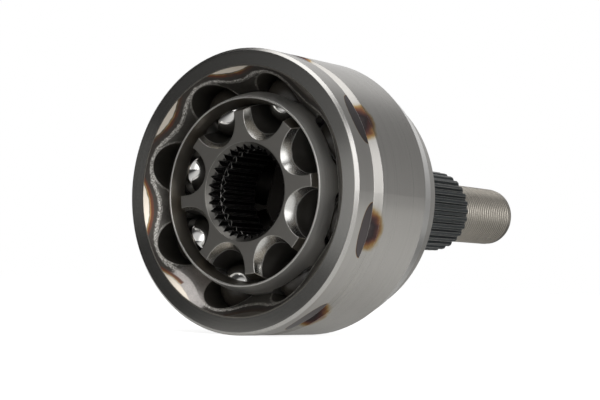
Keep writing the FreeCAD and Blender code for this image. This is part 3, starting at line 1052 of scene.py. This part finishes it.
@dataclass(frozen=True)
class RaceFinish:
    """The finishes of the inner race, and how they meet, in millimetres.

    Attributes:
        effects: The shared node groups.
        skin: Span from a face where a track begins.
        groove: Span of the distance from a track's wall.
        wet_and_shaded_scale: Scale of the noise on the edge of the grease and painted shade.
        wet_and_shaded: Span of the height where the grease and painted shade set in.
        lead: Span from the lead-in's edge where it begins.
        bore: Span from the bore's root where its coat ends.
        bore_depth: Span from a face where it begins.
    """

    effects: Effects
    skin: Span = (-0.04, -0.1)
    groove: Span = (0.2, 0.1)
    wet_and_shaded_scale: float = 0.3
    wet_and_shaded: Span = (-10.0, -9.3)
    lead: Span = (0.0, -0.1)
    bore: Span = (1.0, 0.4)
    bore_depth: Span = (-1.2, -1.6)

    def make(self) -> bpy.types.Material:
        """Lays on the tracks, darkened deeper in by grease and painted shade, the bore and its lead-in.

        Returns:
            The race's material.
        """
        steel = SteelMaterial("race_steel", self.effects, RACE_FACE, RACE_RINGS_PER_MM)
        graph = steel.graph
        track = graph.call(self.effects.track, Centre_Height=TRACKS.offset, **steel.where)
        from_middle = abs(steel.height)
        groove = graph.rise(track["Distance"], *self.groove)
        groove = groove * graph.rise(from_middle, *past(RACE.race_half, self.skin))
        steel.cover(groove, RACE_TRACK)
        # Deeper in, the tracks are darkened: grease, and painted shade where the cage and balls shade
        # them.
        wet_and_shaded = steel.height + graph.noise(steel.millimetres, self.wet_and_shaded_scale)
        steel.cover(groove * graph.rise(wet_and_shaded, *self.wet_and_shaded), RACE_GREASE_AND_SHADE)
        steel.cover(graph.rise(steel.radius, *past(RACE.lead, self.lead)), RACE_LEAD)
        bore = graph.rise(steel.radius, *past(RACE.bore_root, self.bore))
        bore = bore * graph.rise(from_middle, *past(RACE.race_half, self.bore_depth))
        steel.cover(bore, RACE_BORE)
        return steel.finish(*RACE_EDGE_WEAR_AND_HIGHLIGHT)


CAGE_STEEL = Finish(Grain.GROUND, (0.60, 0.59, 0.565), 0.55, 0.25, 0.004)
# Dark colour for the cage's inner sphere: painted shade between the cage and the race.
CAGE_HOLLOW_SHADE = Finish(Grain.GROUND, (0.14, 0.13, 0.12), 0.34, 0.25, 0.003)
CAGE_CONE = Finish(Grain.TURNED, (0.30, 0.275, 0.24), 0.36, 0.2, 0.002)
CAGE_FACE = Finish(Grain.TURNED, (0.86, 0.84, 0.80), 0.28, 0.15, 0.002)
# Cover and colour of the cage's edges: wear and painted highlight.
CAGE_EDGE_WEAR_AND_HIGHLIGHT = (0.8, (0.84, 0.82, 0.78))


@dataclass(frozen=True)
class CageFinish:
    """The finishes of the cage, and how they meet, in millimetres.

    Attributes:
        effects: The shared node groups.
        cone_radius: Span of the radius where the entry cone begins.
        cone_height: Span of the height where it ends.
        shaded_hollow: Span from the inner sphere where its painted shade ends.
        skin: Span from the front edge where its face ends.
    """

    effects: Effects
    cone_radius: Span = (31.2, 31.0)
    cone_height: Span = (-7.9, -8.3)
    shaded_hollow: Span = (0.3, 0.1)
    skin: Span = (0.08, 0.02)

    def make(self) -> bpy.types.Material:
        """Lays painted shade on the inner sphere, then the entry cone and the bright front edge.

        Returns:
            The cage's material.
        """
        steel = SteelMaterial("cage_steel", self.effects, CAGE_STEEL)
        graph = steel.graph
        cone = graph.rise(steel.radius, *self.cone_radius) * graph.rise(steel.height, *self.cone_height)
        from_centre = graph.length(steel.radius, steel.height)
        # The inner sphere, between the cage and the race, is painted dark as shade.
        steel.cover(graph.rise(from_centre, *past(RACE.cage_inner, self.shaded_hollow)), CAGE_HOLLOW_SHADE)
        steel.cover(cone, CAGE_CONE)
        steel.cover(graph.rise(steel.height, *past(RACE.cage_front, self.skin)), CAGE_FACE)
        return steel.finish(*CAGE_EDGE_WEAR_AND_HIGHLIGHT)


# Dark grease together with painted shade, for the balls' outer parts.
BALL_GREASE_AND_SHADE = Finish(Grain.FORGED, (0.035, 0.030, 0.024), 0.36, 0.4, 0.01, 0.0)
BALL_STEEL = Finish(Grain.GROUND, (0.86, 0.85, 0.83), 0.07, 0.06, 0.0003)
BALL_WEAR = (0.0, (0.8, 0.8, 0.8))


@dataclass(frozen=True)
class BallFinish:
    """The polish of the balls, and their outer parts darkened by grease and painted shade, in
    millimetres.

    Attributes:
        effects: The shared node groups.
        grease_and_shade_scale: Scale of the noise on the edge of the grease and painted shade.
        grease_and_shade: Span of the radius where the grease and painted shade set in.
        smear: Scale, detail and roughness of the smears' noise.
        smear_span: Span of that noise.
        smear_cover: Greatest cover of a smear.
        smear_gloss: Roughness of a smear.
    """

    effects: Effects
    grease_and_shade_scale: float = 0.6
    grease_and_shade: Span = (32.4, 33.4)
    smear: tuple[float, float, float] = (0.35, 3.0, 0.6)
    smear_span: Span = (0.5, 0.72)
    smear_cover: float = 0.5
    smear_gloss: float = 0.22

    def make(self) -> bpy.types.Material:
        """Adds the grease with its painted shade, and the smears, to the polish, and rounds the facets.

        Returns:
            The balls' material.
        """
        steel = SteelMaterial("ball_steel", self.effects, BALL_STEEL)
        graph = steel.graph
        # The balls' outer parts, tucked into the bell's tracks, are darkened: grease and painted shade.
        outer = steel.radius + graph.noise(steel.millimetres, self.grease_and_shade_scale)
        steel.cover(graph.rise(outer, *self.grease_and_shade), BALL_GREASE_AND_SHADE)
        smear = graph.rise(graph.noise(steel.millimetres, *self.smear), *self.smear_span)
        steel.roughness = graph.level(smear * self.smear_cover, steel.roughness, self.smear_gloss)
        return steel.finish(*BALL_WEAR)


THREAD_FLANK = Finish(Grain.TURNED, (0.44, 0.405, 0.35), 0.34, 0.2, 0.002)
THREAD_CREST = Finish(Grain.TURNED, (0.52, 0.485, 0.43), 0.28, 0.15, 0.001)
# Darker colour for the thread's root: painted shade.
THREAD_ROOT_SHADE = Finish(Grain.TURNED, (0.38, 0.345, 0.295), 0.42, 0.3, 0.003)
# Cover and colour of the thread's edges: wear and painted highlight.
THREAD_EDGE_WEAR_AND_HIGHLIGHT = (0.3, (0.82, 0.80, 0.75))
CREST_SPAN = (-0.12, -0.04)
ROOT_SPAN = (0.22, 0.12)


class StubThread:
    """The hub thread, a ridge wound on the stub's tip by Geometry Nodes."""

    def __init__(self, effects: Effects, sizes: ThreadSizes) -> None:
        """Keeps the sizes and makes the finish."""
        self.sizes = sizes
        self.material = self._finish(effects)

    def _finish(self, effects: Effects) -> bpy.types.Material:
        """Bare flanks, bright crests and a root darkened as painted shade.

        Args:
            effects: The shared node groups.

        Returns:
            The thread's material.
        """
        steel = SteelMaterial("thread_steel", effects, THREAD_FLANK)
        graph = steel.graph
        steel.cover(graph.rise(steel.radius, *past(self.sizes.crest, CREST_SPAN)), THREAD_CREST)
        # The thread's root is painted darker as shade.
        steel.cover(graph.rise(steel.radius, *past(self.sizes.core, ROOT_SPAN)), THREAD_ROOT_SHADE)
        return steel.finish(*THREAD_EDGE_WEAR_AND_HIGHLIGHT)

    def _tree(self) -> bpy.types.NodeTree:
        """Builds the node tree that winds a four-sided section along a helix.

        Returns:
            The tree, with named inputs for its sizes in metres.
        """
        tree = bpy.data.node_groups.new("hub_thread", "GeometryNodeTree")
        tree.is_modifier = True
        face = tree.interface
        face.new_socket("Geometry", in_out="OUTPUT", socket_type="NodeSocketGeometry")
        for label in ("Pitch", "Start", "Turns", "Core", "Crest", "Foot", "Top", "Runout", "Sink"):
            face.new_socket(label, in_out="INPUT", socket_type=NUMBER)
        face.new_socket("Segments", in_out="INPUT", socket_type="NodeSocketInt")
        face.new_socket("Material", in_out="INPUT", socket_type="NodeSocketMaterial")
        graph = Graph(tree)
        given = graph.carried(graph.node("NodeGroupInput"))
        helix = graph.node("GeometryNodeCurveSpiral", {
            "Resolution": given["Segments"], "Rotations": given["Turns"], "Start Radius": given["Core"],
            "End Radius": given["Core"], "Height": given["Pitch"] * given["Turns"], "Reverse": True})
        sunk = graph.node("GeometryNodeSetPosition", {
            "Geometry": helix.outputs[0], "Position": self._sunk_place(graph, given)})
        upright = graph.node("GeometryNodeSetCurveNormal", {"Curve": sunk.outputs[0]}, mode="Z_UP")
        ridge = graph.node("GeometryNodeCurveToMesh", {
            "Curve": upright.outputs[0], "Profile Curve": self._section(graph, given),
            "Fill Caps": True})
        laid = graph.node("GeometryNodeTransform", {
            "Geometry": ridge.outputs[0], "Rotation": (math.radians(-90.0), 0.0, 0.0),
            "Translation": graph.combine(0.0, given["Start"], 0.0)})
        real = graph.node("GeometryNodeRealizeInstances", {0: laid.outputs[0]})
        dressed = graph.node("GeometryNodeSetMaterial", {
            "Geometry": real.outputs[0], "Material": given["Material"]})
        graph.node("NodeGroupOutput", {0: dressed.outputs[0]})
        return tree

    @staticmethod
    def _sunk_place(graph: Graph, given: dict[str, Feed]) -> Socket:
        """Where each point of the helix goes, so that both ends sink into the stub.

        Args:
            graph: The thread's tree.
            given: The tree's inputs.

        Returns:
            The place.
        """
        along = graph.carried(graph.node("GeometryNodeSplineParameter"))["Factor"]
        ends = graph.math("MINIMUM", along, 1.0 - along) * given["Turns"] / given["Runout"]
        scale = 1.0 - graph.rise(ends, 1.0, 0.0) * given["Sink"] / given["Core"]
        across, over, height = graph.parts(graph.node("GeometryNodeInputPosition").outputs[0])
        return graph.combine(across * scale, over * scale, height)

    @staticmethod
    def _section(graph: Graph, given: dict[str, Feed]) -> Socket:
        """The ridge's four-sided section, its foot on the helix and its top outwards.

        Args:
            graph: The thread's tree.
            given: The tree's inputs.

        Returns:
            The closed curve.
        """
        out = given["Crest"] - given["Core"]
        foot = given["Foot"] * 0.5
        top = given["Top"] * 0.5
        corners = ((0.0, foot), (0.0, foot * -1.0), (out, top * -1.0), (out, top))
        points = {f"Point {number + 1}": graph.combine(depth, along, 0.0)
                  for number, (depth, along) in enumerate(corners)}
        return graph.node("GeometryNodeCurvePrimitiveQuadrilateral", points, mode="POINTS").outputs[0]

    def build(self) -> bpy.types.Object:
        """Makes the thread as a plain mesh.

        Returns:
            The piece.
        """
        piece = bpy.data.objects.new("stub_thread", bpy.data.meshes.new("stub_thread"))
        bpy.context.scene.collection.objects.link(piece)
        wound = piece.modifiers.new("hub_thread", "NODES")
        wound.node_group = self._tree()
        sizes = self.sizes
        values = {"Turns": sizes.turns, "Runout": sizes.runout, "Segments": sizes.segments,
                  "Material": self.material}
        lengths = {"Pitch": sizes.pitch, "Start": sizes.start, "Core": sizes.core, "Crest": sizes.crest,
                   "Foot": sizes.foot, "Top": sizes.top, "Sink": sizes.sink}
        values.update({label: length * MILLIMETRE for label, length in lengths.items()})
        for socket in wound.node_group.interface.items_tree:
            if socket.in_out == "INPUT":
                wound[socket.identifier] = values[socket.name]
        evaluated = piece.evaluated_get(bpy.context.evaluated_depsgraph_get())
        mesh = bpy.data.meshes.new_from_object(evaluated)
        piece.modifiers.clear()
        piece.data = mesh
        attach(piece, Body.HOUSING.value)
        LOG.info("wound %s with %d faces", piece.name, len(mesh.polygons))
        return piece


@dataclass
class Joint:
    """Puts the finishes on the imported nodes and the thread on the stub.

    Attributes:
        effects: The shared node groups.
        made: Material of each dressed node, by the node's name.
    """

    effects: Effects
    made: dict[str, str] = field(default_factory=dict)

    def dress(self, name: str, material: bpy.types.Material) -> None:
        """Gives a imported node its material.

        Args:
            name: The node's name.
            material: Its finish.
        """
        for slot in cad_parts[name].material_slots:
            slot.material = material
        self.made[name] = material.name
        LOG.info("dressed %s with %s", name, material.name)

    def build(self) -> None:
        """Dresses every node and winds the thread."""
        self.dress(Node.BELL.value, BellFinish(self.effects).make())
        self.dress(Node.RACE.value, RaceFinish(self.effects).make())
        self.dress(Node.CAGE.value, CageFinish(self.effects).make())
        ball = BallFinish(self.effects).make()
        for number in range(TRACKS.count):
            self.dress(f"ball_{number + 1}", ball)
        StubThread(self.effects, THREAD).build()


@dataclass(frozen=True)
class Viewpoint:
    """Where the photograph was taken from, in the part's own frame.

    Attributes:
        place: The camera's place in metres.
        right: The picture's right.
        forward: The direction that the camera looks in.
        lens: Focal length in millimetres.
        sensor: Width of the sensor in millimetres.
        near: Nearest distance seen, in metres.
    """

    place: Place = (0.32318, -0.42462, -0.02752)
    right: Place = (0.8080, 0.5881, 0.0353)
    forward: Place = (-0.5891, 0.8066, 0.0485)
    lens: float = 96.0
    sensor: float = 36.0
    near: float = 0.01


@dataclass(frozen=True)
class Glare:
    """A bright part of the room, as the metal sees it.

    Attributes:
        towards: Direction from the joint.
        rim: Cosine at which it starts.
        core: Cosine at which it is full.
        strength: Radiance added there.
    """

    towards: Place
    rim: float
    core: float
    strength: float


@dataclass(frozen=True)
class Softbox:
    """A lamp that faces the joint.

    Attributes:
        name: The lamp's name.
        place: Where it hangs, in metres.
        width: Its width in metres.
        height: Its height in metres.
        power: Its power in watts.
    """

    name: str
    place: Place
    width: float
    height: float
    power: float


@dataclass(frozen=True)
class Table:
    """The table, white to the camera; for what the metal mirrors, painted darker as shade on the joint's
    left, with a painted shadow spot, a painted glow and a painted reflection.

    Attributes:
        half: Half of its width, in metres.
        side: Direction towards its pale side.
        side_span: Span along that direction.
        spot: Middle of a painted shadow spot, in metres.
        spot_span: Span of the distance from it.
        spot_light: Gain and least light of the spot.
        grain: Noise of the paper's grain.
        dark: Colour of the side painted dark as shade.
        pale: Colour of the pale side.
        painted_glow: Light that the pale side gives off as a painted glow, though it is no lamp.
        painted_reflection: Painted reflection of it that only mirrored rays see.
        seen: Gain and value of the white that the camera sees.
    """

    half: float = 3.0
    side: Place = (0.75, 0.66, 0.0)
    side_span: Span = (-0.15, -0.04)
    spot: Pair = (0.0, 0.32)
    spot_span: Span = (0.12, 0.20)
    spot_light: Pair = (0.8, 0.2)
    grain: Fray = (60.0, 3.0, 0.04, 0.0)
    dark: Colour = (0.05, 0.05, 0.05)
    pale: Colour = (0.70, 0.70, 0.69)
    painted_glow: float = 0.13
    painted_reflection: float = 0.06
    seen: Pair = (-0.27, 0.985)


ROOM = (
    Glare((0.92, -0.38, 0.02), 0.64, 0.90, 1.60),
    Glare((-0.36, 0.85, 0.36), 0.885, 0.99, 0.8),
    Glare((0.35, 0.80, 0.35), 0.55, 0.90, 0.28),
    Glare((-0.25, -0.96, -0.12), 0.86, 0.99, 1.1),
    Glare((0.02, -0.12, 1.0), 0.84, 0.93, 0.55),
    Glare((0.30, -0.93, 0.22), 0.80, 0.94, 0.65),
)
ROOM_LEVEL = 0.05
BACKDROP = (0.90, 0.955)
LAMPS = (
    Softbox("top_softbox", (0.05, -0.10, 1.0), 1.0, 0.9, 3.4),
    Softbox("right_softbox", (0.98, 0.38, 0.06), 0.4, 0.6, 2.0),
    Softbox("front_softbox", (0.65, -0.65, 0.45), 0.16, 0.16, 0.3),
)


class Studio:
    """The plain pale table, the soft lamps and the camera."""

    def __init__(self, viewpoint: Viewpoint, table: Table) -> None:
        """Keeps the camera's place and the table.

        Args:
            viewpoint: Where the camera stands.
            table: What the joint lies on.
        """
        self.viewpoint = viewpoint
        self.table = table
        self.scene = bpy.context.scene

    def build(self) -> None:
        """Makes the whole studio."""
        self._camera()
        self._floor()
        self._world()
        for box in LAMPS:
            self._lamp(box)
        self.scene.view_settings.view_transform = "Standard"

    def _camera(self) -> None:
        """Places the camera as the photograph's was."""
        data = bpy.data.cameras.new("camera")
        data.lens = self.viewpoint.lens
        data.sensor_width = self.viewpoint.sensor
        data.clip_start = self.viewpoint.near
        camera = bpy.data.objects.new("camera", data)
        self.scene.collection.objects.link(camera)
        right = Vector(self.viewpoint.right).normalized()
        back = -Vector(self.viewpoint.forward).normalized()
        up = back.cross(right).normalized()
        turn = Matrix((right, up, back)).transposed().to_4x4()
        camera.matrix_world = Matrix.Translation(self.viewpoint.place) @ turn
        self.scene.camera = camera

    def _floor(self) -> None:
        """Lays the pale table under the lowest point of the part."""
        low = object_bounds()[0].z
        half = self.table.half
        mesh = bpy.data.meshes.new("table_top")
        corners = [(-half, -half, low), (half, -half, low), (half, half, low), (-half, half, low)]
        mesh.from_pydata(corners, [], [(0, 1, 2, 3)])
        table = bpy.data.objects.new("table_top", mesh)
        self.scene.collection.objects.link(table)
        table.data.materials.append(self._paper(low))
        table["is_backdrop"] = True

    def _paper(self, low: float) -> bpy.types.Material:
        """White paper that the camera sees lit, keeping the object's shadow, and clear from below; for
        the other rays it is painted darker as shade on one side and round a spot, with a painted glow
        and a painted reflection.

        Args:
            low: Height of the table.

        Returns:
            The material.
        """
        table = self.table
        material = bpy.data.materials.new("white_paper")
        graph = bare_graph(material)
        place = graph.node("ShaderNodeTexCoord").outputs["Object"]
        # Painted shade: the paper is darker on the joint's left and round a spot behind it.
        near = graph.rise(graph.compare("DOT_PRODUCT", place, table.side), *table.side_span)
        spot = graph.rise(graph.compare("DISTANCE", place, (*table.spot, low)), *table.spot_span)
        scale, detail, gain, shift = table.grain
        grain = graph.noise(place, scale, detail).scaled(gain, shift)
        lit = graph.math("MULTIPLY_ADD", near, spot.scaled(*table.spot_light), grain, clamp=True)
        path = graph.carried(graph.node("ShaderNodeLightPath"))
        # Painted reflection: an extra glow that only mirrored rays see.
        painted_reflection = path["Is Glossy Ray"].larger(path["Is Transmission Ray"]) * lit * table.painted_reflection
        white = graph.math("MULTIPLY_ADD", path["Is Camera Ray"], lit.scaled(*table.seen), painted_reflection)
        paper = graph.node("ShaderNodeBsdfDiffuse", {"Color": graph.blend(lit, table.dark, table.pale)})
        # Painted glow: the pale side gives off light though it is no lamp.
        painted_glow = graph.node("ShaderNodeEmission", {"Strength": lit * table.painted_glow})
        sheet = graph.node("ShaderNodeAddShader", {0: paper.outputs[0], 1: painted_glow.outputs[0]})
        glow = graph.node("ShaderNodeEmission", {"Strength": white})
        seen = graph.node("ShaderNodeAddShader", {0: sheet.outputs[0], 1: glow.outputs[0]})
        back = graph.node("ShaderNodeNewGeometry").outputs["Backfacing"]
        clear = graph.node("ShaderNodeBsdfTransparent")
        sided = graph.node("ShaderNodeMixShader", {0: back, 1: seen.outputs[0], 2: clear.outputs[0]})
        graph.node("ShaderNodeOutputMaterial", {"Surface": sided.outputs[0]})
        return material

    def _world(self) -> None:
        """White to the camera, and to the metal that white behind the joint in a darker room."""
        world = bpy.data.worlds.new("studio")
        self.scene.world = world
        graph = bare_graph(world)
        direction = graph.node("ShaderNodeTexCoord").outputs["Generated"]
        glow: Feed = ROOM_LEVEL
        for glare in ROOM:
            facing = graph.compare("DOT_PRODUCT", direction, Vector(glare.towards).normalized())
            glow = graph.rise(facing, glare.rim, glare.core) * glare.strength + glow
        room = graph.node("ShaderNodeBackground", {"Strength": glow})
        white = graph.node("ShaderNodeBackground", {"Color": (1.0, 1.0, 1.0, 1.0)})
        path = graph.carried(graph.node("ShaderNodeLightPath"))
        facing = graph.compare("DOT_PRODUCT", direction, Vector(self.viewpoint.forward).normalized())
        mirrored = path["Is Glossy Ray"].larger(path["Is Transmission Ray"])
        mirrored = mirrored * graph.rise(facing, *BACKDROP)
        seen = graph.node("ShaderNodeMixShader", {
            0: path["Is Camera Ray"].larger(mirrored), 1: room.outputs[0], 2: white.outputs[0]})
        graph.node("ShaderNodeOutputWorld", {"Surface": seen.outputs[0]})

    def _lamp(self, box: Softbox) -> None:
        """Hangs a softbox that faces the joint.

        Args:
            box: The softbox.
        """
        data = bpy.data.lights.new(box.name, "AREA")
        data.shape = "RECTANGLE"
        data.size = box.width
        data.size_y = box.height
        data.energy = box.power
        lamp = bpy.data.objects.new(box.name, data)
        self.scene.collection.objects.link(lamp)
        turn = (-Vector(box.place)).to_track_quat("-Z", "Y").to_matrix().to_4x4()
        lamp.matrix_world = Matrix.Translation(box.place) @ turn


def main() -> None:
    """Builds the dressed joint and its studio."""
    logging.basicConfig(level=logging.INFO, format="%(name)s: %(message)s")
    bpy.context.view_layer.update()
    joint = Joint(Effects())
    joint.build()
    Studio(Viewpoint(), Table()).build()
    LOG.info("finished with %d dressed nodes", len(joint.made))


if __name__ == "__main__":
    main()
